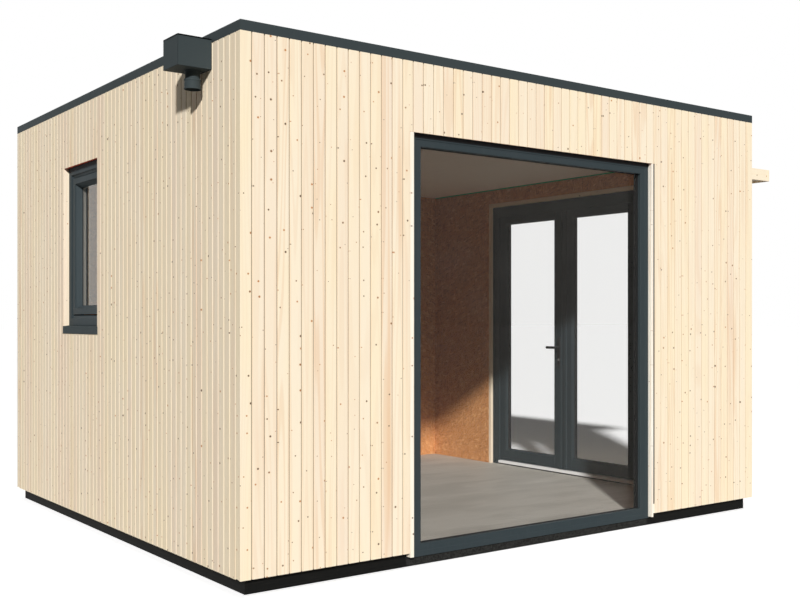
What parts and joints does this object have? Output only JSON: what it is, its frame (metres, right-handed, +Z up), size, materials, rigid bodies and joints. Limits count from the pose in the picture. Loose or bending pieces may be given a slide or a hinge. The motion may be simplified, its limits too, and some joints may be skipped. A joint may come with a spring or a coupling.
{
  "type": "garden cabin",
  "caption": "Flat-roofed timber garden cabin on a plinth, with full-height front glazing, a side window, outward-opening French doors under a canopy and a rain hopper.",
  "frame": {"origin": "on the ground under the middle of the cabin's footprint, measured over the cladding", "axes": "+X to the right along the front, +Y towards the back, +Z up; the glazed front faces -Y"},
  "size_m": [4.16, 3.47, 2.52],
  "materials": {
    "cladding_timber": "planed, untreated",
    "wall_board": "pressed flake board",
    "plinth_black": "black stain",
    "floor_grey": "grey covering",
    "ceiling_board": "pale board",
    "roof_core": "bare",
    "roof_rubber": "matt sheet",
    "anthracite_sheet": "anthracite powder coat",
    "anthracite_frame": "anthracite paint",
    "clear_glass": "clear",
    "lining_pine": "planed",
    "threshold_aluminium": "mill finish",
    "hinge_steel": "anthracite paint",
    "lever_black": "black"
  },
  "bodies": {
    "cabin": {"back_cladding": "cladding_timber", "back_wall": "wall_board", "canopy_deck": "cladding_timber", "canopy_fascia": "cladding_timber", "ceiling": "ceiling_board", "door_frame": "anthracite_frame", "door_hinges": "hinge_steel", "door_lining": "lining_pine", "door_threshold": "threshold_aluminium", "floor": "floor_grey", "front_cladding_header": "cladding_timber", "front_cladding_left": "cladding_timber", "front_cladding_right": "cladding_timber", "front_wall_header": "wall_board", "front_wall_left": "wall_board", "front_wall_right": "wall_board", "glazing_frame": "anthracite_frame", "glazing_glass": "clear_glass", "glazing_reveal_left": "cladding_timber", "glazing_reveal_right": "cladding_timber", "left_cladding": "cladding_timber", "left_wall": "wall_board", "plinth_back": "plinth_black", "plinth_front": "plinth_black", "plinth_left": "plinth_black", "plinth_right": "plinth_black", "rain_hopper": "anthracite_sheet", "rain_outlet": "anthracite_sheet", "right_cladding_front": "cladding_timber", "right_cladding_header": "cladding_timber", "right_cladding_rear": "cladding_timber", "right_wall_front": "wall_board", "right_wall_header": "wall_board", "right_wall_rear": "wall_board", "roof_covering": "roof_rubber", "roof_panel": "roof_core", "roof_trim_back": "anthracite_sheet", "roof_trim_front": "anthracite_sheet", "roof_trim_left": "anthracite_sheet", "roof_trim_right": "anthracite_sheet", "window_frame": "anthracite_frame", "window_glass": "clear_glass", "window_sash": "anthracite_frame", "window_sill": "anthracite_sheet"},
    "door_front": {"door_leaf_front": "anthracite_frame", "door_glass_front": "clear_glass"},
    "door_rear": {"door_leaf_rear": "anthracite_frame", "door_glass_rear": "clear_glass"},
    "lever": {"door_lever": "lever_black"}
  },
  "joints": [
    {"name": "door_front_swing", "type": "hinge", "parent": "cabin", "child": "door_front", "pos_m": [1.676, -0.8305, 1], "axis": [0, 0, -1], "range_deg": [0, 110]},
    {"name": "door_rear_swing", "type": "hinge", "parent": "cabin", "child": "door_rear", "pos_m": [1.676, 0.7005, 1], "axis": [0, 0, 1], "range_deg": [0, 110]},
    {"name": "lever_turn", "type": "hinge", "parent": "door_rear", "child": "lever", "pos_m": [1.64, -0.034, 1], "axis": [-1, 0, 0], "range_deg": [0, 45], "stiffness_Nm_per_rad": 2, "springref_deg": -28.65}
  ]
}
